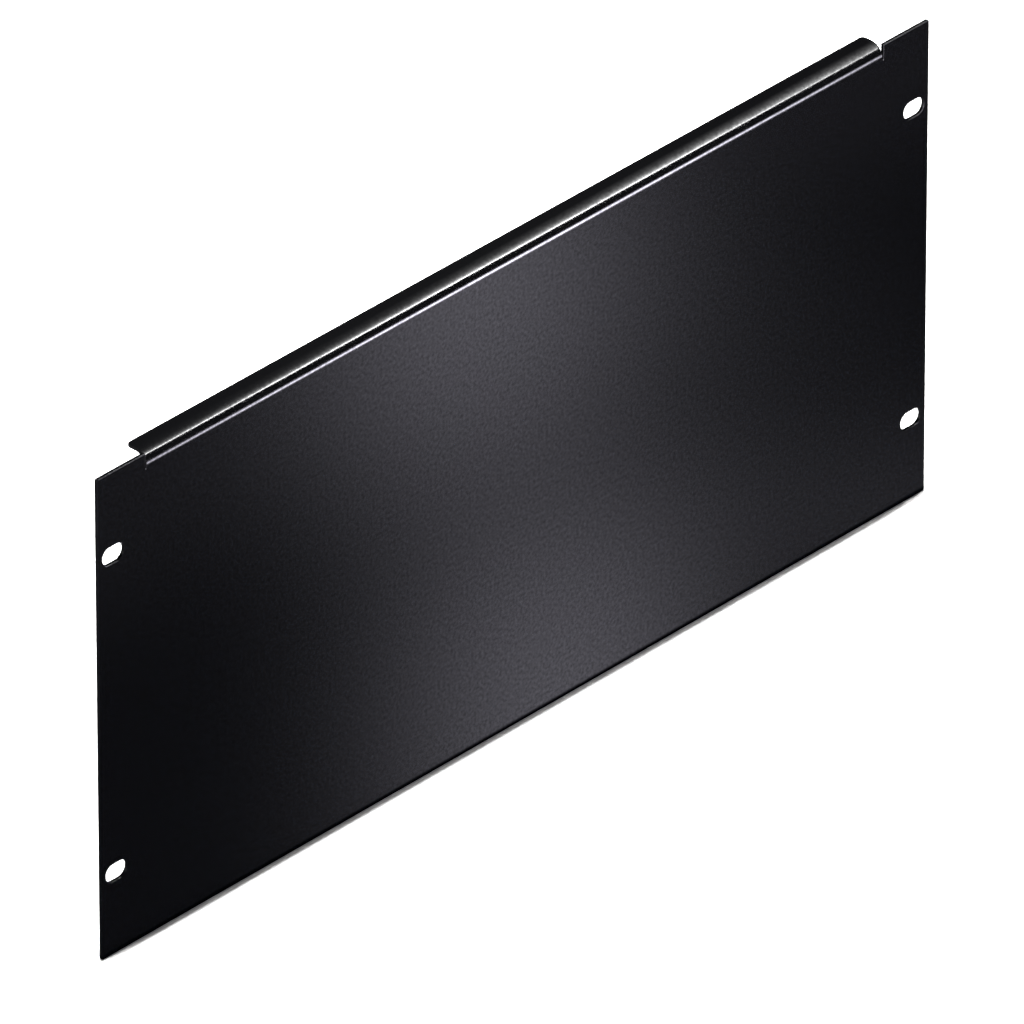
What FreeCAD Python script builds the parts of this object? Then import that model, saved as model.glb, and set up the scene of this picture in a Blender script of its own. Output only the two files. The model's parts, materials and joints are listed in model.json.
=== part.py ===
import FreeCAD, Part
import math
import os

# Blanking panel for a 19-inch equipment rack. It is one sheet of steel, five rack units high.
# A stiffening flange is folded back along the top edge, between two flat mounting ears.
# A narrow relief is cut at each end of the fold, so that the ears stay flat beside it.
#
# Frame: millimetres, +Z up, X along the width, and the front of the panel faces -Y.
# The origin is the middle of the screw slot pattern, on the rear face that lies on the rails.

# Rack module (EIA-310 and IEC 60297)
RACK_UNIT = 44.45            # height of one rack unit
UNITS_HIGH = 5               # rack units that the panel covers
HEIGHT_CLEARANCE = 0.8       # height left free, so that stacked panels do not rub
PANEL_WIDTH = 482.6          # over both ears
CORNER_RADIUS = 1.0          # outer corners of the ears

# Screw slots
SLOT_FROM_SIDE = 8.75        # from the panel's side to the middle of the slot, over the rail holes
SLOT_FROM_UNIT_EDGE = 38.1   # from the end of a rack unit to its third rail hole
SLOT_LENGTH = 12.0           # end to end, along X
SLOT_WIDTH = 7.8             # also the diameter of the slot's round ends

# Sheet and fold
SHEET = 1.5                  # thickness of the sheet
BEND_INNER_RADIUS = 4.5      # radius inside the fold
FLANGE_DEPTH = 11.0          # from the front face to the flange's rear edge
EAR_WIDTH = 27.8             # from the panel's side to the end of the flange
FLANGE_CORNER_RADIUS = 2.0   # rear corners of the flange

# Relief at each end of the fold
RELIEF_WIDTH = 0.4           # gap between the fold and the ear
RELIEF_PAST_BEND = 0.9       # how far the relief runs below the start of the bend
EAR_CORNER_RADIUS = 0.5      # top inner corner of each ear, beside the relief

# Worked out from the sizes above
PANEL_HEIGHT = UNITS_HIGH * RACK_UNIT - HEIGHT_CLEARANCE
SLOT_SPACING_X = PANEL_WIDTH - 2 * SLOT_FROM_SIDE
SLOT_SPACING_Z = UNITS_HIGH * RACK_UNIT - 2 * SLOT_FROM_UNIT_EDGE
FLANGE_LENGTH = PANEL_WIDTH - 2 * EAR_WIDTH
SIDE = PANEL_WIDTH / 2
TOP = PANEL_HEIGHT / 2
REAR = 0.0
FRONT = REAR - SHEET
BEND_OUTER_RADIUS = BEND_INNER_RADIUS + SHEET
BEND_START = TOP - BEND_OUTER_RADIUS
FLANGE_BACK = FRONT + FLANGE_DEPTH
FLANGE_END = FLANGE_LENGTH / 2
EAR_START = FLANGE_END + RELIEF_WIDTH
SAME_PLACE = 1e-6            # points closer than this are one point


def on_front(across, up):
    """Point on the plane of the front face, from X and Z."""
    return FreeCAD.Vector(across, FRONT, up)


def on_flange_end(deep, up):
    """Point on the plane of the flange's left end, from Y and Z."""
    return FreeCAD.Vector(-FLANGE_END, deep, up)


def corner_arc(before, corner, after, radius):
    """Start, middle and end of the arc that rounds a corner between its two neighbours."""
    back = (before - corner).normalize()
    ahead = (after - corner).normalize()
    half_angle = back.getAngle(ahead) / 2
    reach = radius / math.tan(half_angle)
    inward = (back + ahead).normalize()
    centre = corner + inward * (radius / math.sin(half_angle))
    return corner + back * reach, centre - inward * radius, corner + ahead * reach


def rounded_outline(corners, place):
    """Closed wire through corners given as (first, second, radius); radius 0 stays sharp."""
    points = [place(first, second) for first, second, _ in corners]
    arcs = []
    for index, (_, _, radius) in enumerate(corners):
        after = points[(index + 1) % len(points)]
        arcs.append(corner_arc(points[index - 1], points[index], after, radius))
    edges = []
    for index, (start, middle, end) in enumerate(arcs):
        previous_end = arcs[index - 1][2]
        if previous_end.distanceToPoint(start) > SAME_PLACE:
            edges.append(Part.makeLine(previous_end, start))
        if corners[index][2] > 0:
            edges.append(Part.Arc(start, middle, end).toShape())
    return Part.Wire(Part.__sortEdges__(edges))


def face_sheet():
    """Flat sheet with both ears; its top edge between the reliefs is the start of the bend."""
    relief_floor = BEND_START - RELIEF_PAST_BEND
    relief_radius = RELIEF_WIDTH / 2
    right_half = [
        (SIDE, -TOP, CORNER_RADIUS),
        (SIDE, TOP, CORNER_RADIUS),
        (EAR_START, TOP, EAR_CORNER_RADIUS),
        (EAR_START, relief_floor, relief_radius),
        (FLANGE_END, relief_floor, relief_radius),
        (FLANGE_END, BEND_START, 0),
    ]
    left_half = [(-across, up, radius) for across, up, radius in reversed(right_half)]
    outline = rounded_outline(right_half + left_half, on_front)
    return Part.Face(outline).extrude(FreeCAD.Vector(0, SHEET, 0))


def fold_section():
    """Section of the bend and the flange, seen from the end."""
    return rounded_outline(
        [
            (FRONT, BEND_START, 0),
            (FRONT, TOP, BEND_OUTER_RADIUS),
            (FLANGE_BACK, TOP, 0),
            (FLANGE_BACK, TOP - SHEET, 0),
            (REAR, TOP - SHEET, BEND_INNER_RADIUS),
            (REAR, BEND_START, 0),
        ],
        on_flange_end,
    )


def folded_flange():
    """Bend and flange along the top edge, with the flange's two rear corners rounded."""
    flange = Part.Face(fold_section()).extrude(FreeCAD.Vector(FLANGE_LENGTH, 0, 0))
    rear_corners = [
        edge for edge in flange.Edges
        if edge.BoundBox.YMin > FLANGE_BACK - SAME_PLACE and edge.BoundBox.XLength < SAME_PLACE
    ]
    return flange.makeFillet(FLANGE_CORNER_RADIUS, rear_corners)


def screw_slot(centre_x, centre_z):
    """Cutter for one horizontal slot with round ends, through the sheet."""
    half_length = SLOT_LENGTH / 2
    half_width = SLOT_WIDTH / 2
    corners = [
        (centre_x + side_x * half_length, centre_z + side_z * half_width, half_width)
        for side_x, side_z in ((-1, -1), (1, -1), (1, 1), (-1, 1))
    ]
    outline = rounded_outline(corners, on_front)
    return Part.Face(outline).extrude(FreeCAD.Vector(0, SHEET, 0))


def screw_slots():
    """The four slots, two on each rail."""
    return [
        screw_slot(side_x * SLOT_SPACING_X / 2, side_z * SLOT_SPACING_Z / 2)
        for side_x in (-1, 1)
        for side_z in (-1, 1)
    ]


def blanking_panel():
    """The whole folded panel as one solid."""
    panel = face_sheet().fuse(folded_flange()).removeSplitter()
    return panel.cut(screw_slots())


os.makedirs("parts", exist_ok=True)
blanking_panel().exportStep("parts/blanking_panel.step")
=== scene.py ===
import json
import logging
import math
from dataclasses import dataclass, field
from enum import Enum

import bmesh
import bpy
from mathutils import Matrix, Vector


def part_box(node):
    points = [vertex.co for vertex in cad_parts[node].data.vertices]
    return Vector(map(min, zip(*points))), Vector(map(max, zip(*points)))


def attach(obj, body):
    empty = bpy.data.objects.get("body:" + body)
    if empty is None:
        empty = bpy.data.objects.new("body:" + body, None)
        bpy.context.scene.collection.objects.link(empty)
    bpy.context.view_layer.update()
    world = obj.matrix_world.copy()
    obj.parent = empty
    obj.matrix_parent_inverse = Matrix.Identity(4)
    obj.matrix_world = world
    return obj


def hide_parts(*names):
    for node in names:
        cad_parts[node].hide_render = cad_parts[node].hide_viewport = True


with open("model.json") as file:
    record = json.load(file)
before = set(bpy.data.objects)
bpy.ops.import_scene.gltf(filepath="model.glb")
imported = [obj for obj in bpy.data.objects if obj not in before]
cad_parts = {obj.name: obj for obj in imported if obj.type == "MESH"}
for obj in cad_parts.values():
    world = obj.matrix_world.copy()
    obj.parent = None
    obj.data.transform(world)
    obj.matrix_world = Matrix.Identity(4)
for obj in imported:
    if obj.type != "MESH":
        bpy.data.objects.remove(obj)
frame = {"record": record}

# A blanking panel for a 19-inch rack: one sheet of steel in fine satin black powder coat.
# Its top edge is folded back into a flange between two flat ears with screw slots.
# Lengths are in metres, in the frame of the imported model, and the front faces -Y.

log = logging.getLogger("blanking_panel_scene")

CAD_NODE = "blanking_panel"
RIM_MARK = "rim"
MM = 0.001
QUARTER_TURN = math.pi / 2
MATRIX_SIZE = 4
TO_REAR = (0.0, 1.0, 0.0)
WHITE = (1.0, 1.0, 1.0, 1.0)

Colour = tuple[float, float, float, float]
Triple = tuple[float, float, float]


class Side(Enum):
    """The two ends of the panel, as the sign of X."""

    LEFT = -1
    RIGHT = 1


class Row(Enum):
    """The two rows of screw slots, as the sign of Z."""

    LOWER = -1
    UPPER = 1


class Mix(Enum):
    """What a Mix node blends: its data type, then the places of its two inputs and its result."""

    NUMBER = ("FLOAT", 2, 3, 0)
    COLOUR = ("RGBA", 6, 7, 2)


def as_object(name: str, sheet: bmesh.types.BMesh) -> bpy.types.Object:
    """Turns a finished mesh into an object in the scene.

    Args:
        name: the object's name.
        sheet: the mesh, which is freed.

    Returns:
        The object.
    """
    mesh = bpy.data.meshes.new(name)
    sheet.to_mesh(mesh)
    sheet.free()
    thing = bpy.data.objects.new(name, mesh)
    bpy.context.scene.collection.objects.link(thing)
    return thing


def lay_square(name: str, half_side: float, place: Matrix) -> bpy.types.Object:
    """Lays a flat square sheet.

    Args:
        name: the sheet's name.
        half_side: half the length of its side.
        place: where its middle lies and how it is turned.

    Returns:
        The sheet.
    """
    square = bmesh.new()
    bmesh.ops.create_grid(square, x_segments=1, y_segments=1, size=half_side, matrix=place)
    return as_object(name, square)


@dataclass(frozen=True)
class Corner:
    """A corner of the flat blank.

    Args:
        across: place along X.
        up: place along Z.
        radius: radius of the corner, 0 for a sharp one.
    """

    across: float
    up: float
    radius: float


@dataclass(frozen=True)
class ScrewSlots:
    """The four horizontal screw slots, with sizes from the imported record.

    Args:
        spacing_x: distance between the columns of slots.
        spacing_z: distance between the rows.
        radius: half the width of a slot.
        length: its whole length.
        round_steps: segments of its two round ends together.
    """

    spacing_x: float
    spacing_z: float
    radius: float
    length: float
    round_steps: int = 48

    @classmethod
    def from_record(cls, record: dict) -> "ScrewSlots":
        """Reads the slot pattern.

        Args:
            record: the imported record.

        Returns:
            The slots in metres.
        """
        pattern = next(mount for mount in record["mounts"] if mount["kind"] == "bolt_pattern")
        dims = pattern["dims"]
        return cls(
            spacing_x=dims["spacing_x_mm"] * MM,
            spacing_z=dims["spacing_y_mm"] * MM,
            radius=dims["hole_r_mm"] * MM,
            length=dims["slot_length_mm"] * MM,
        )

    def draw(self, blank: bmesh.types.BMesh, front: float) -> None:
        """Draws the rim of every slot on the front plane.

        Args:
            blank: mesh that gets the rims.
            front: Y of the front plane.
        """
        for side in Side:
            for row in Row:
                centre = Vector((side.value * self.spacing_x / 2, front, row.value * self.spacing_z / 2))
                self._draw_one(blank, centre)

    def _draw_one(self, blank: bmesh.types.BMesh, centre: Vector) -> None:
        """Draws one rim: a circle whose left and right halves are moved apart.

        Args:
            blank: mesh that gets the rim.
            centre: middle of the slot.
        """
        half_step = math.pi / self.round_steps
        stand = Matrix.Rotation(QUARTER_TURN, MATRIX_SIZE, "X")
        upright = stand @ Matrix.Rotation(half_step, MATRIX_SIZE, "Z")
        ring = bmesh.ops.create_circle(
            blank,
            cap_ends=False,
            segments=self.round_steps,
            radius=self.radius,
            matrix=Matrix.Translation(centre) @ upright,
        )["verts"]
        stretch = self.length / 2 - self.radius
        for side in Side:
            half = [vert for vert in ring if (vert.co.x - centre.x) * side.value > 0]
            bmesh.ops.translate(blank, verts=half, vec=(side.value * stretch, 0, 0))


@dataclass
class FoldedPanel:
    """The panel's one piece: a blank that is cut, folded, given its thickness and eased.

    Args:
        low: low corner of the panel's box.
        high: high corner of the panel's box.
        slots: its screw slots.
        bend_radius: outer radius of the bend.
        ear_width: length of top edge beside each end of the flange.
        corner_radius: radius of the panel's outer corners.
        flange_corner_radius: radius of the flange's free corners.
        relief_width: width of the slit that parts the bend from an ear.
        relief_past_bend: run of the slit past the start of the bend.
        ear_corner_radius: radius of the ears' inner corners.
        edge_round: radius of the coated edges.
        rim_band: width of the band of faces along the edges of the blank.
        corner_steps: segments of a corner.
        bend_steps: segments of the bend.
        edge_steps: segments of a coated edge.
        round_profile: bevel profile that gives a true arc.
        cut_angle: angle between two faces above which their edge is a cut one.
        flat_weight: weight of the larger faces in the normals.
        same_place: distance below which two points are one.
    """

    low: Vector
    high: Vector
    slots: ScrewSlots
    bend_radius: float = 6.0 * MM
    ear_width: float = 27.8 * MM
    corner_radius: float = 1.0 * MM
    flange_corner_radius: float = 2.0 * MM
    relief_width: float = 0.4 * MM
    relief_past_bend: float = 0.9 * MM
    ear_corner_radius: float = 0.5 * MM
    edge_round: float = 0.30 * MM
    rim_band: float = 0.45 * MM
    corner_steps: int = 6
    bend_steps: int = 40
    edge_steps: int = 3
    round_profile: float = 0.5
    cut_angle: float = math.radians(60)
    flat_weight: int = 100
    same_place: float = 1e-7
    sheet: float = field(init=False)
    front: float = field(init=False)
    bend_start: float = field(init=False)
    flange_end: float = field(init=False)

    def __post_init__(self) -> None:
        """Works out what follows from the box; the rear face lies on Y = 0."""
        self.front = self.low.y
        self.sheet = -self.low.y
        self.bend_start = self.high.z - self.bend_radius
        self.flange_end = self.high.x - self.ear_width

    def build(self) -> bpy.types.Object:
        """Makes the panel's mesh.

        Returns:
            The panel as an object at the origin.
        """
        sheet = bmesh.new()
        self._cut_blank(sheet)
        self._fold_flange(sheet)
        self._thicken(sheet)
        self._ease_rims(sheet)
        panel = as_object("folded_panel", sheet)
        self._hold_flat_faces(panel)
        return panel

    def _blank_corners(self) -> list[Corner]:
        """Lists the blank's corners up to the start of the bend, right half then left half."""
        ear_start = self.flange_end + self.relief_width
        relief_floor = self.bend_start - self.relief_past_bend
        relief_radius = self.relief_width / 2
        right = [
            Corner(self.high.x, self.low.z, self.corner_radius),
            Corner(self.high.x, self.high.z, self.corner_radius),
            Corner(ear_start, self.high.z, self.ear_corner_radius),
            Corner(ear_start, relief_floor, relief_radius),
            Corner(self.flange_end, relief_floor, relief_radius),
            Corner(self.flange_end, self.bend_start, 0),
        ]
        left = [Corner(-corner.across, corner.up, corner.radius) for corner in reversed(right)]
        return right + left

    def _cut_blank(self, sheet: bmesh.types.BMesh) -> None:
        """Fills the flat blank inside its outline and round its slots.

        Args:
            sheet: empty mesh that gets the blank.
        """
        corners = self._blank_corners()
        verts = [sheet.verts.new((corner.across, self.front, corner.up)) for corner in corners]
        sheet.faces.new(verts)
        for radius in sorted({corner.radius for corner in corners if corner.radius}):
            rounded = [vert for vert, corner in zip(verts, corners) if corner.radius == radius]
            self._round_corners(sheet, rounded, radius)
        bmesh.ops.delete(sheet, geom=sheet.faces[:], context="FACES_ONLY")
        bmesh.ops.remove_doubles(sheet, verts=sheet.verts[:], dist=self.same_place)
        self.slots.draw(sheet, self.front)
        bmesh.ops.triangle_fill(sheet, use_beauty=True, edges=sheet.edges[:], normal=(0, -1, 0))
        bmesh.ops.inset_region(
            sheet,
            faces=sheet.faces[:],
            use_boundary=True,
            use_even_offset=True,
            thickness=self.rim_band,
        )

    def _round_corners(
        self, sheet: bmesh.types.BMesh, verts: list[bmesh.types.BMVert], radius: float
    ) -> None:
        """Rounds corners of a flat face.

        Args:
            sheet: mesh that holds the face.
            verts: its corners to round.
            radius: their radius.
        """
        bmesh.ops.bevel(
            sheet,
            geom=verts,
            offset=radius,
            offset_type="OFFSET",
            affect="VERTICES",
            segments=self.corner_steps,
            profile=self.round_profile,
            material=-1,
        )

    def _fold_flange(self, sheet: bmesh.types.BMesh) -> None:
        """Turns the bend up from the blank's top edge and draws the flange out to the rear.

        Args:
            sheet: mesh with the flat blank.
        """
        bend_line = [
            edge for edge in sheet.edges
            if edge.is_boundary and all(self._on_bend_start(vert) for vert in edge.verts)
        ]
        turned = bmesh.ops.spin(
            sheet,
            geom=bend_line,
            cent=(0, self.front + self.bend_radius, self.bend_start),
            axis=(1, 0, 0),
            angle=-QUARTER_TURN,
            steps=self.bend_steps,
            use_merge=False,
            use_normal_flip=False,
            use_duplicate=False,
        )["geom_last"]
        last_edge = [item for item in turned if isinstance(item, bmesh.types.BMEdge)]
        drawn = bmesh.ops.extrude_edge_only(sheet, edges=last_edge)["geom"]
        rear = [item for item in drawn if isinstance(item, bmesh.types.BMVert)]
        run = self.high.y - self.front - self.bend_radius
        bmesh.ops.translate(sheet, verts=rear, vec=(0, run, 0))
        self._round_corners(sheet, rear, self.flange_corner_radius)

    def _on_bend_start(self, vert: bmesh.types.BMVert) -> bool:
        """Tells whether a point lies where the bend starts, between the reliefs."""
        level = abs(vert.co.z - self.bend_start) < self.same_place
        return level and abs(vert.co.x) < self.flange_end + self.same_place

    def _thicken(self, sheet: bmesh.types.BMesh) -> None:
        """Gives the sheet its thickness, behind the front face and under the flange.

        Args:
            sheet: mesh of the outer skin.
        """
        bmesh.ops.recalc_face_normals(sheet, faces=sheet.faces[:])
        front_face = max(sheet.faces, key=lambda face: face.calc_area())
        if front_face.normal.y > 0:
            bmesh.ops.reverse_faces(sheet, faces=sheet.faces[:])
        bmesh.ops.solidify(sheet, geom=sheet.faces[:], thickness=self.sheet)
        bmesh.ops.recalc_face_normals(sheet, faces=sheet.faces[:])

    def _ease_rims(self, sheet: bmesh.types.BMesh) -> None:
        """Rounds every cut edge slightly, as the coat leaves it, and marks the rounds.

        Args:
            sheet: closed mesh of the panel.
        """
        rims = [edge for edge in sheet.edges if edge.calc_face_angle(0) > self.cut_angle]
        rounds = bmesh.ops.bevel(
            sheet,
            geom=rims,
            offset=self.edge_round,
            offset_type="OFFSET",
            affect="EDGES",
            segments=self.edge_steps,
            profile=self.round_profile,
            clamp_overlap=True,
            material=-1,
        )["faces"]
        mark = sheet.verts.layers.float.new(RIM_MARK)
        for face in rounds:
            for vert in face.verts:
                vert[mark] = 1.0

    def _hold_flat_faces(self, panel: bpy.types.Object) -> None:
        """Shades the panel smooth, with the flat faces' own normals kept to their edges.

        Args:
            panel: the finished panel.
        """
        for face in panel.data.polygons:
            face.use_smooth = True
        weighted = panel.modifiers.new("flat_faces_stay_flat", "WEIGHTED_NORMAL")
        weighted.mode = "FACE_AREA"
        weighted.weight = self.flat_weight
        weighted.keep_sharp = True


@dataclass
class NodeTree:
    """Short ways to write a shader tree."""

    tree: bpy.types.NodeTree

    def add(self, kind: str, **values: object) -> bpy.types.Node:
        """Adds a node.

        Args:
            kind: the node's type, without "ShaderNode".
            values: its properties.

        Returns:
            The node.
        """
        node = self.tree.nodes.new("ShaderNode" + kind)
        for name, value in values.items():
            setattr(node, name, value)
        return node

    def put(self, source: object, target: bpy.types.NodeSocket) -> None:
        """Links a socket to another one, or sets a constant on it."""
        if isinstance(source, bpy.types.NodeSocket):
            self.tree.links.new(source, target)
        else:
            target.default_value = source

    def math(self, operation: str, *terms: object) -> bpy.types.NodeSocket:
        """Adds a Math node.

        Args:
            operation: what it does.
            terms: sockets or constants, in order.

        Returns:
            Its output.
        """
        node = self.add("Math", operation=operation)
        for socket, term in zip(node.inputs, terms):
            self.put(term, socket)
        return node.outputs["Value"]

    def _on_vectors(self, operation: str, vector: bpy.types.NodeSocket, fixed: object) -> bpy.types.Node:
        """Adds a Vector Math node on a vector and a fixed one."""
        node = self.add("VectorMath", operation=operation)
        self.put(vector, node.inputs[0])
        self.put(fixed, node.inputs[1])
        return node

    def dot(self, vector: bpy.types.NodeSocket, direction: object) -> bpy.types.NodeSocket:
        """Adds the dot product of a vector and a fixed direction."""
        return self._on_vectors("DOT_PRODUCT", vector, direction).outputs["Value"]

    def distance(self, place: bpy.types.NodeSocket, centre: object) -> bpy.types.NodeSocket:
        """Adds the distance of each place from a fixed one."""
        return self._on_vectors("DISTANCE", place, centre).outputs["Value"]

    def offset(self, place: bpy.types.NodeSocket, start: object) -> bpy.types.NodeSocket:
        """Adds the way to each place from a fixed one."""
        return self._on_vectors("SUBTRACT", place, start).outputs["Vector"]

    def mix(
        self, kind: Mix, share: bpy.types.NodeSocket, first: object, second: object
    ) -> bpy.types.NodeSocket:
        """Adds a blend of two values.

        Args:
            kind: what it blends.
            share: how much of the second one there is, from 0 to 1.
            first: socket or constant.
            second: socket or constant.

        Returns:
            The blend.
        """
        data_type, first_at, second_at, result_at = kind.value
        node = self.add("Mix", data_type=data_type)
        self.put(share, node.inputs["Factor"])
        self.put(first, node.inputs[first_at])
        self.put(second, node.inputs[second_at])
        return node.outputs[result_at]

    def bell(self, distance: bpy.types.NodeSocket, width: float) -> bpy.types.NodeSocket:
        """Adds a bell curve: 1 at no distance, dying away beyond the width."""
        ratio = self.math("DIVIDE", distance, width)
        square = self.math("MULTIPLY", ratio, ratio)
        return self.math("EXPONENT", self.math("MULTIPLY", square, -1.0))


@dataclass(frozen=True)
class CoatGrain:
    """The fine grain that powder coat keeps after it has melted and set.

    Args:
        pebble_size: size of a pebble in the coat.
        speck_size: size of the specks on the pebbles.
        wave_size: length of the slow waves under them.
        pebble_detail: octaves of finer noise in the pebbles.
        plain_detail: octaves of finer noise in the specks and waves.
        middle: mean of the noise.
        speck_share: height of the specks against the pebbles.
        wave_share: height of the waves against the pebbles.
        roughness_spread: change of the roughness from pebble to pebble.
        contrast: how far the pebbles' colours part.
    """

    pebble_size: float = 1.5 * MM
    speck_size: float = 0.30 * MM
    wave_size: float = 9.0 * MM
    pebble_detail: float = 2.0
    plain_detail: float = 1.0
    middle: float = 0.5
    speck_share: float = 0.5
    wave_share: float = 0.2
    roughness_spread: float = 0.03
    contrast: float = 2.3

    def group(self) -> bpy.types.NodeTree:
        """Builds the node group: a roughness offset, a height, and the pebbles from 0 to 1.

        Returns:
            The group.
        """
        group = bpy.data.node_groups.new("powder_grain", "ShaderNodeTree")
        group.interface.new_socket("Place", in_out="INPUT", socket_type="NodeSocketVector")
        for name in ("Roughness Offset", "Height", "Pebbles"):
            group.interface.new_socket(name, in_out="OUTPUT", socket_type="NodeSocketFloat")
        nodes = NodeTree(group)
        start = group.nodes.new("NodeGroupInput")
        end = group.nodes.new("NodeGroupOutput")
        place = start.outputs["Place"]
        pebbles = self._noise(nodes, place, self.pebble_size, self.pebble_detail)
        specks = self._noise(nodes, place, self.speck_size, self.plain_detail)
        waves = self._noise(nodes, place, self.wave_size, self.plain_detail)
        fine = nodes.math("ADD", pebbles, nodes.math("MULTIPLY", specks, self.speck_share))
        height = nodes.math("ADD", fine, nodes.math("MULTIPLY", waves, self.wave_share))
        centred = nodes.math("SUBTRACT", pebbles, self.middle)
        offset = nodes.math("MULTIPLY", centred, self.roughness_spread)
        nodes.put(offset, end.inputs["Roughness Offset"])
        nodes.put(height, end.inputs["Height"])
        spread = nodes.math("MULTIPLY_ADD", centred, self.contrast, self.middle)
        nodes.put(nodes.math("MINIMUM", nodes.math("MAXIMUM", spread, 0.0), 1.0), end.inputs["Pebbles"])
        return group

    def _noise(
        self, nodes: NodeTree, place: bpy.types.NodeSocket, size: float, detail: float
    ) -> bpy.types.NodeSocket:
        """Adds noise of one grain size.

        Args:
            nodes: tree that gets it.
            place: where each point lies.
            size: size of a grain.
            detail: octaves of finer noise.

        Returns:
            The noise, from 0 to 1.
        """
        noise = nodes.add("TexNoise")
        nodes.put(place, noise.inputs["Vector"])
        noise.inputs["Scale"].default_value = 1 / size
        noise.inputs["Detail"].default_value = detail
        return noise.outputs["Fac"]


@dataclass(frozen=True)
class BlackPowderCoat:
    """Fine satin black powder coat.

    Args:
        low_colour: colour between the pebbles.
        high_colour: colour on the pebbles.
        rim_colour: colour on the coated edges.
        roughness: roughness of the flat faces.
        rim_roughness: roughness of the coated edges.
        rim_starts: value of the rim mark above which the coat is an edge's.
        ior: refractive index of the coat.
        grain_height: height of the grain.
        grain: the grain itself.
    """

    low_colour: Colour = (0.0006, 0.0012, 0.0022, 1.0)
    high_colour: Colour = (0.0026, 0.0040, 0.0070, 1.0)
    rim_colour: Colour = (0.0060, 0.0062, 0.0072, 1.0)
    roughness: float = 0.105
    rim_roughness: float = 0.16
    rim_starts: float = 0.9
    ior: float = 1.5
    grain_height: float = 0.0010 * MM
    grain: CoatGrain = field(default_factory=CoatGrain)

    def material(self) -> bpy.types.Material:
        """Builds the coat.

        Returns:
            The material.
        """
        coat = bpy.data.materials.new("black_powder_coat")
        coat.use_nodes = True
        nodes = NodeTree(coat.node_tree)
        shader = coat.node_tree.nodes["Principled BSDF"]
        shader.inputs["IOR"].default_value = self.ior
        place = nodes.add("TexCoord").outputs["Object"]
        mark = nodes.add("Attribute", attribute_name=RIM_MARK).outputs["Fac"]
        rim = nodes.math("GREATER_THAN", mark, self.rim_starts)
        grain = nodes.add("Group", node_tree=self.grain.group())
        nodes.put(place, grain.inputs["Place"])
        mottle = nodes.mix(Mix.COLOUR, grain.outputs["Pebbles"], self.low_colour, self.high_colour)
        nodes.put(nodes.mix(Mix.COLOUR, rim, mottle, self.rim_colour), shader.inputs["Base Color"])
        smooth = nodes.math("MULTIPLY_ADD", rim, self.rim_roughness - self.roughness, self.roughness)
        uneven = nodes.math("ADD", smooth, grain.outputs["Roughness Offset"])
        nodes.put(uneven, shader.inputs["Roughness"])
        nodes.put(grain.outputs["Pebbles"], shader.inputs["Coat Weight"])
        shader.inputs["Coat Roughness"].default_value = self.roughness
        bump = nodes.add("Bump")
        bump.inputs["Distance"].default_value = self.grain_height
        nodes.put(grain.outputs["Height"], bump.inputs["Height"])
        nodes.put(bump.outputs["Normal"], shader.inputs["Normal"])
        return coat


@dataclass(frozen=True)
class Glow:
    """One light on a card. It starts at the centre line and dims along the rise.

    Args:
        strength: radiance at the brightest place.
        width: distance along the card's breadth over which it dies away.
        fade: distance along the card's rise over which it dims.
    """

    strength: float
    width: float
    fade: float

    def level(
        self, nodes: NodeTree, along: bpy.types.NodeSocket, up: bpy.types.NodeSocket
    ) -> bpy.types.NodeSocket:
        """Adds the glow's radiance.

        Args:
            nodes: tree that gets it.
            along: distance from the centre along the breadth.
            up: distance from the centre along the rise.

        Returns:
            The radiance at each place.
        """
        decay = nodes.math("EXPONENT", nodes.math("DIVIDE", up, -self.fade))
        fall = nodes.math("MULTIPLY", decay, nodes.math("GREATER_THAN", up, 0.0))
        spread = nodes.math("MULTIPLY", nodes.bell(along, self.width), fall)
        return nodes.math("MULTIPLY", spread, self.strength)


@dataclass(frozen=True)
class LightCard:
    """A glowing card that only shiny surfaces see, brightest along its centre line.

    Args:
        name: what it is.
        centre: middle of the glow, in metres.
        facing: the way that the card looks.
        rise: direction on the card along which the glow dims.
        glows: the lights that add up on it.
        half_side: half the length of its side.
    """

    name: str
    centre: Vector
    facing: Vector
    rise: Vector
    glows: tuple[Glow, ...]
    half_side: float

    def build(self) -> bpy.types.Object:
        """Makes the card.

        Returns:
            The card.
        """
        facing = self.facing.normalized()
        rise = (self.rise - facing * self.rise.dot(facing)).normalized()
        breadth = rise.cross(facing)
        turn = Matrix((breadth, rise, facing)).transposed().to_4x4()
        card = lay_square(self.name, self.half_side, Matrix.Translation(self.centre) @ turn)
        card.data.materials.append(self._glow(breadth, rise))
        card.visible_camera = False
        card.visible_diffuse = False
        card.visible_transmission = False
        card.visible_shadow = False
        return card

    def _glow(self, breadth: Vector, rise: Vector) -> bpy.types.Material:
        """Builds the card's glow.

        Args:
            breadth: direction along the card's breadth.
            rise: direction along which it dims.

        Returns:
            The material.
        """
        glow = bpy.data.materials.new(self.name + "_glow")
        glow.use_nodes = True
        glow.node_tree.nodes.clear()
        nodes = NodeTree(glow.node_tree)
        way = nodes.offset(nodes.add("TexCoord").outputs["Object"], self.centre)
        along = nodes.dot(way, breadth)
        up = nodes.dot(way, rise)
        level: object = 0.0
        for light in self.glows:
            level = nodes.math("ADD", level, light.level(nodes, along, up))
        emission = nodes.add("Emission")
        nodes.put(level, emission.inputs["Strength"])
        out = nodes.add("OutputMaterial")
        nodes.put(emission.outputs["Emission"], out.inputs["Surface"])
        return glow


UPPER_CARD = LightCard(
    name="upper_card",
    centre=Vector((0.632, -0.600, 0.709)),
    facing=Vector((0, 0, -1)),
    rise=Vector(TO_REAR),
    glows=(
        Glow(strength=20.0, width=0.25, fade=0.19),
        Glow(strength=62.0, width=0.22, fade=0.05),
    ),
    half_side=2.0,
)


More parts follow.
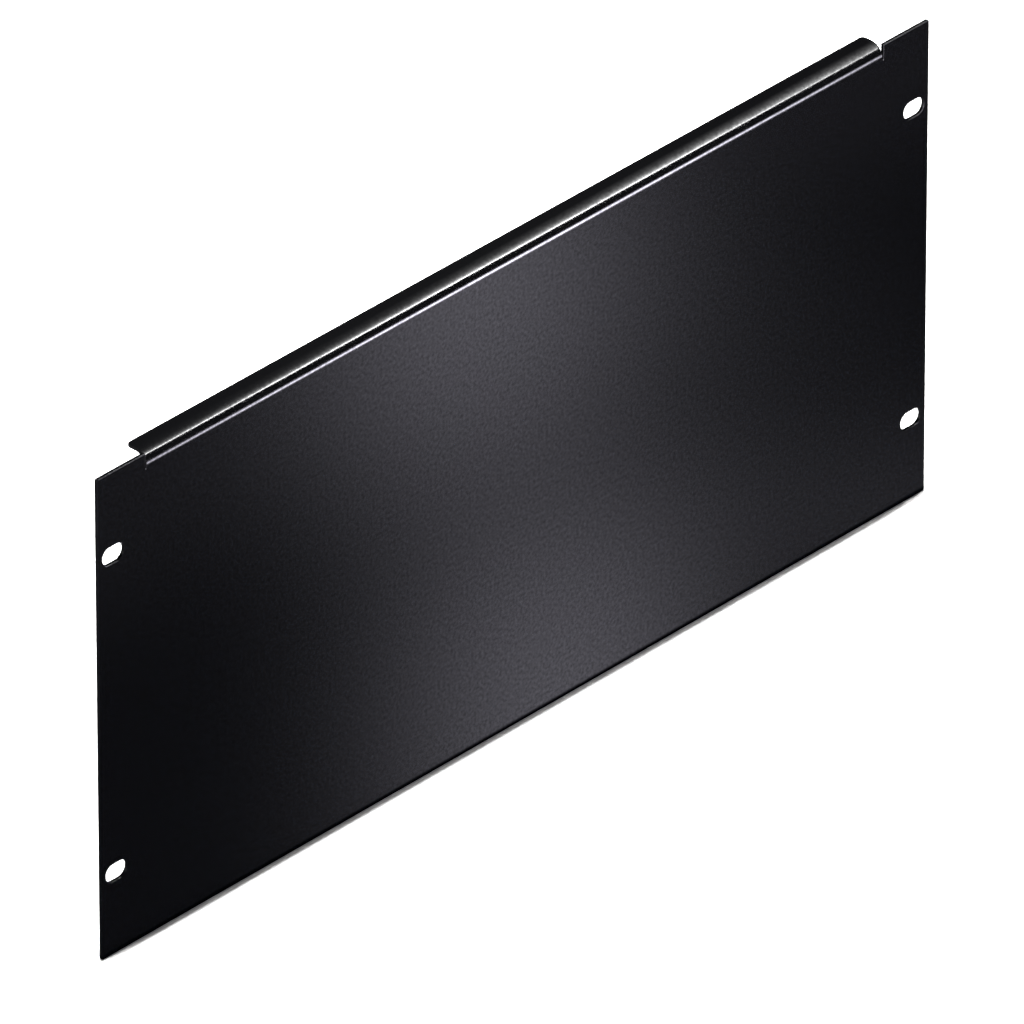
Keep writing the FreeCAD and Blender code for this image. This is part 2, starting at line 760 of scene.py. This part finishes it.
@dataclass(frozen=True)
class FloorSpot:
    """A round patch of light on the floor that only shiny surfaces see.

    Args:
        centre: its middle on the floor, in metres.
        width: distance over which it dies away.
        strength: radiance at its middle.
    """

    centre: tuple[float, float]
    width: float
    strength: float

    def level(
        self, nodes: NodeTree, place: bpy.types.NodeSocket, height: float
    ) -> bpy.types.NodeSocket:
        """Adds the patch's radiance.

        Args:
            nodes: tree that gets it.
            place: where each point of the floor lies.
            height: the floor's height.

        Returns:
            The radiance at each place.
        """
        away = nodes.distance(place, (*self.centre, height))
        return nodes.math("MULTIPLY", nodes.bell(away, self.width), self.strength)


@dataclass(frozen=True)
class FloorStreak:
    """A slanting streak of light on the floor that the lower part of the bend mirrors.

    Args:
        bend_height: height of the bend above the floor, in metres.
        drop: fall of the light per length, on its way from the bend to the streak's middle.
        drop_width: change of the drop over which the streak dies away.
        slant: sideways run of the streak per length ahead of the panel.
        centre: place of the streak's middle along the panel.
        width: distance along the panel over which it dies away.
        strength: radiance at its middle.
    """

    bend_height: float = 0.2165
    drop: float = 0.369
    drop_width: float = 0.144
    slant: float = 0.87
    centre: float = -0.008
    width: float = 0.205
    strength: float = 21.5

    def level(self, nodes: NodeTree, place: bpy.types.NodeSocket) -> bpy.types.NodeSocket:
        """Adds the streak's radiance.

        Args:
            nodes: tree that gets it.
            place: where each point of the floor lies.

        Returns:
            The radiance at each place.
        """
        along = nodes.dot(place, (1.0, self.slant, 0.0))
        drop = nodes.math("DIVIDE", -self.bend_height, nodes.dot(place, TO_REAR))
        band = nodes.bell(nodes.math("SUBTRACT", drop, self.drop), self.drop_width)
        spread = nodes.bell(nodes.math("SUBTRACT", along, self.centre), self.width)
        return nodes.math("MULTIPLY", nodes.math("MULTIPLY", band, spread), self.strength)


@dataclass(frozen=True)
class StudioFloor:
    """White floor. Shiny surfaces see a soft pool of light on it, in front of the panel, and a painted
    shadow along the panel's foot.

    Args:
        level: height of the floor.
        panel_front: Y of the panel's front.
        reach: half the length of the floor's side.
        pale: the floor's colour as it lights the panel.
        white: the floor's colour as the camera sees it.
        pool_colour: tint of the light on it.
        pool_start: a point on the pool's middle line.
        pool_across: level direction across the pool.
        pool_width: distance across over which the pool dies away.
        pool_strength: radiance of its middle line.
        waist_at: Y of the pool's dimmer waist.
        waist_width: distance over which the waist ends.
        waist_depth: share of light that the waist takes away.
        band_at: Y of the faint band across the floor.
        band_width: distance over which the band dies away.
        band_strength: radiance of the band.
        spots: round patches of light.
        streak: light that the bend mirrors.
        shade_start: distance from the panel's front up to which the painted shadow hides all the floor's
            light from shiny surfaces.
        shade_end: distance from which the painted shadow is gone.
        unlit: radiance of the rest of the floor.
    """

    level: float
    panel_front: float
    reach: float = 1.9
    pale: Colour = (0.8, 0.8, 0.8, 1.0)
    white: Colour = (3.0, 3.0, 3.0, 1.0)
    pool_colour: Colour = (0.98, 0.95, 1.10, 1.0)
    pool_start: Triple = (0.024, 0.0, 0.0)
    pool_across: Triple = (0.7635, 0.646, 0.0)
    pool_width: float = 0.072
    pool_strength: float = 0.73
    waist_at: float = -0.125
    waist_width: float = 0.075
    waist_depth: float = 0.42
    band_at: float = -0.24
    band_width: float = 0.06
    band_strength: float = 0.05
    spots: tuple[FloorSpot, ...] = (
        FloorSpot(centre=(0.225, 0.0), width=0.08, strength=0.115),
        FloorSpot(centre=(0.275, -0.166), width=0.09, strength=0.065),
        FloorSpot(centre=(-0.36, -0.40), width=0.16, strength=0.6),
        FloorSpot(centre=(0.30, 0.43), width=0.18, strength=0.6),
        FloorSpot(centre=(-0.30, 0.43), width=0.18, strength=0.6),
    )
    streak: FloorStreak = field(default_factory=FloorStreak)
    shade_start: float = 1.2 * MM
    shade_end: float = 3.2 * MM
    unlit: float = 0.03

    def build(self) -> bpy.types.Object:
        """Lays the floor.

        Returns:
            The floor.
        """
        floor = lay_square("studio_floor", self.reach, Matrix.Translation((0, 0, self.level)))
        floor.data.materials.append(self._material())
        return floor

    def _radiance(self, nodes: NodeTree, place: bpy.types.NodeSocket) -> bpy.types.NodeSocket:
        """Adds up the lights on the floor.

        Args:
            nodes: tree that gets them.
            place: where each point of the floor lies.

        Returns:
            The radiance that shiny surfaces see.
        """
        across = nodes.dot(nodes.offset(place, self.pool_start), self.pool_across)
        depth = nodes.dot(place, TO_REAR)
        waist = nodes.bell(nodes.math("SUBTRACT", depth, self.waist_at), self.waist_width)
        dimmed = nodes.math("MULTIPLY_ADD", waist, -self.waist_depth, 1.0)
        pool = nodes.math("MULTIPLY", nodes.bell(across, self.pool_width), dimmed)
        band = nodes.bell(nodes.math("SUBTRACT", depth, self.band_at), self.band_width)
        lit = nodes.math("MULTIPLY_ADD", pool, self.pool_strength, self.unlit)
        lit = nodes.math("MULTIPLY_ADD", band, self.band_strength, lit)
        for spot in self.spots:
            lit = nodes.math("ADD", lit, spot.level(nodes, place, self.level))
        lit = nodes.math("ADD", lit, self.streak.level(nodes, place))
        # Painted shadow at the panel's foot: the light that shiny surfaces see on the floor fades out
        # with distance from the panel's front, in place of a real contact shadow.
        painted_foot_shadow = nodes.add("MapRange", interpolation_type="SMOOTHSTEP")
        gap = nodes.math("ABSOLUTE", nodes.math("SUBTRACT", self.panel_front, depth))
        nodes.put(gap, painted_foot_shadow.inputs["Value"])
        nodes.put(self.shade_start, painted_foot_shadow.inputs["From Min"])
        nodes.put(self.shade_end, painted_foot_shadow.inputs["From Max"])
        return nodes.math("MULTIPLY", lit, painted_foot_shadow.outputs["Result"])

    def _material(self) -> bpy.types.Material:
        """Builds the floor's material.

        Returns:
            The material.
        """
        paper = bpy.data.materials.new("studio_floor")
        paper.use_nodes = True
        paper.node_tree.nodes.clear()
        nodes = NodeTree(paper.node_tree)
        rays = nodes.add("LightPath")
        matt = nodes.add("BsdfDiffuse")
        tone = nodes.mix(Mix.COLOUR, rays.outputs["Is Camera Ray"], self.pale, self.white)
        nodes.put(tone, matt.inputs["Color"])
        glow = nodes.add("Emission")
        glow.inputs["Color"].default_value = self.pool_colour
        place = nodes.add("TexCoord").outputs["Object"]
        nodes.put(self._radiance(nodes, place), glow.inputs["Strength"])
        seen = nodes.add("MixShader")
        nodes.put(rays.outputs["Is Glossy Ray"], seen.inputs["Fac"])
        nodes.put(matt.outputs["BSDF"], seen.inputs[1])
        nodes.put(glow.outputs["Emission"], seen.inputs[2])
        sides = nodes.add("MixShader")
        nodes.put(nodes.add("NewGeometry").outputs["Backfacing"], sides.inputs["Fac"])
        nodes.put(seen.outputs["Shader"], sides.inputs[1])
        nodes.put(nodes.add("BsdfTransparent").outputs["BSDF"], sides.inputs[2])
        out = nodes.add("OutputMaterial")
        nodes.put(sides.outputs["Shader"], out.inputs["Surface"])
        return paper


@dataclass(frozen=True)
class RoomLight:
    """A wide soft light in the room that only shiny surfaces see.

    Args:
        direction: where it is, as a unit vector.
        focus: how fast it dies away from there.
        strength: radiance at its middle.
    """

    direction: Triple
    focus: float
    strength: float

    def level(self, nodes: NodeTree, direction: bpy.types.NodeSocket) -> bpy.types.NodeSocket:
        """Adds the light's radiance in each direction."""
        towards = nodes.math("MAXIMUM", nodes.dot(direction, self.direction), 0.0)
        return nodes.math("MULTIPLY", nodes.math("POWER", towards, self.focus), self.strength)


@dataclass(frozen=True)
class Studio:
    """Floor, lights and camera round the panel.

    Args:
        low: low corner of the panel's box, which stands on the floor.
        azimuth: degrees that the camera stands round from the front.
        elevation: degrees that it stands above.
        distance: its distance, in metres.
        focal_length: its focal length, in millimetres.
        sensor: width of its sensor, in millimetres.
        clip_near: nearest distance that it sees.
        clip_far: farthest distance that it sees.
        aim_right: how far to the right of the origin it looks.
        aim_up: how far above the origin it looks.
        ambient: brightness of the room for matt surfaces.
        backdrop: brightness of the room for the camera.
        room_lights: wide soft lights in the room.
        dark_side: radiance of the rest of the room for shiny surfaces.
        strip_height: height of the softbox over the floor.
        strip_length: its length.
        strip_width: its width.
        strip_lean: degrees that it hangs behind the upright.
        strip_power: its power in watts.
    """

    low: Vector
    azimuth: float = -47.122
    elevation: float = 31.581
    distance: float = 9.26
    focal_length: float = 820.15
    sensor: float = 36.0
    clip_near: float = 1.0
    clip_far: float = 100.0
    aim_right: float = -2.003 * MM
    aim_up: float = -11.084 * MM
    ambient: float = 0.08
    backdrop: float = 1.0
    room_lights: tuple[RoomLight, ...] = (
        RoomLight(direction=(-0.72, 0.50, 0.48), focus=2.0, strength=0.6),
        RoomLight(direction=(-0.53, -0.85, 0.0), focus=8.0, strength=0.6),
    )
    dark_side: float = 0.004
    strip_height: float = 2.6
    strip_length: float = 1.6
    strip_width: float = 0.04
    strip_lean: float = 0.8
    strip_power: float = 60.0

    def build(self) -> list[bpy.types.Object]:
        """Sets up everything round the panel.

        Returns:
            The floor, the lights and the camera.
        """
        floor = StudioFloor(level=self.low.z, panel_front=self.low.y).build()
        self._light_world()
        return [floor, self._hang_strip(), UPPER_CARD.build(), self._place_camera()]

    def _light_world(self) -> None:
        """Surrounds the scene with a white backdrop that shiny surfaces see as a dark room."""
        world = bpy.data.worlds.new("studio")
        world.use_nodes = True
        nodes = NodeTree(world.node_tree)
        background = world.node_tree.nodes["Background"]
        background.inputs["Color"].default_value = WHITE
        rays = nodes.add("LightPath")
        direction = nodes.add("TexCoord").outputs["Generated"]
        room: object = self.dark_side
        for light in self.room_lights:
            room = nodes.math("ADD", room, light.level(nodes, direction))
        unseen = nodes.mix(Mix.NUMBER, rays.outputs["Is Glossy Ray"], self.ambient, room)
        strength = nodes.mix(Mix.NUMBER, rays.outputs["Is Camera Ray"], unseen, self.backdrop)
        nodes.put(strength, background.inputs["Strength"])
        bpy.context.scene.world = world

    def _hang_strip(self) -> bpy.types.Object:
        """Hangs a long softbox over the panel, so that the panel's shadow keeps close to its foot.

        Returns:
            The softbox.
        """
        lamp = bpy.data.lights.new("overhead_strip", "AREA")
        lamp.shape = "RECTANGLE"
        lamp.size = self.strip_length
        lamp.size_y = self.strip_width
        lamp.energy = self.strip_power
        strip = bpy.data.objects.new("overhead_strip", lamp)
        behind = self.strip_height * math.tan(math.radians(self.strip_lean))
        strip.location = (0, behind, self.low.z + self.strip_height)
        strip.visible_glossy = False
        bpy.context.scene.collection.objects.link(strip)
        return strip

    def _place_camera(self) -> bpy.types.Object:
        """Sets the camera on its line of sight.

        Returns:
            The camera.
        """
        turn = math.radians(self.azimuth)
        tilt = math.radians(self.elevation)
        back = Vector(
            (math.sin(turn) * math.cos(tilt), -math.cos(turn) * math.cos(tilt), math.sin(tilt))
        )
        right = Vector((math.cos(turn), math.sin(turn), 0))
        up = back.cross(right)
        lens = bpy.data.cameras.new("camera")
        lens.lens = self.focal_length
        lens.sensor_width = self.sensor
        lens.clip_start = self.clip_near
        lens.clip_end = self.clip_far
        camera = bpy.data.objects.new("camera", lens)
        aim = right * self.aim_right + up * self.aim_up
        camera.matrix_world = Matrix.Translation(aim + back * self.distance) @ Matrix(
            (right, up, back)
        ).transposed().to_4x4()
        bpy.context.scene.collection.objects.link(camera)
        bpy.context.scene.camera = camera
        return camera


def main() -> None:
    """Builds the panel and the studio round it."""
    logging.basicConfig(level=logging.INFO, format="%(message)s")
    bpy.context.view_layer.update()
    low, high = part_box(CAD_NODE)
    slots = ScrewSlots.from_record(frame["record"])
    panel = FoldedPanel(low, high, slots).build()
    panel.data.materials.append(BlackPowderCoat().material())
    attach(panel, "root")
    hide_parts(CAD_NODE)
    log.info("%s: %d faces", panel.name, len(panel.data.polygons))
    for thing in Studio(low).build():
        log.info("%s is in place", thing.name)
    bpy.context.scene.view_settings.view_transform = "Standard"


if __name__ == "__main__":
    main()
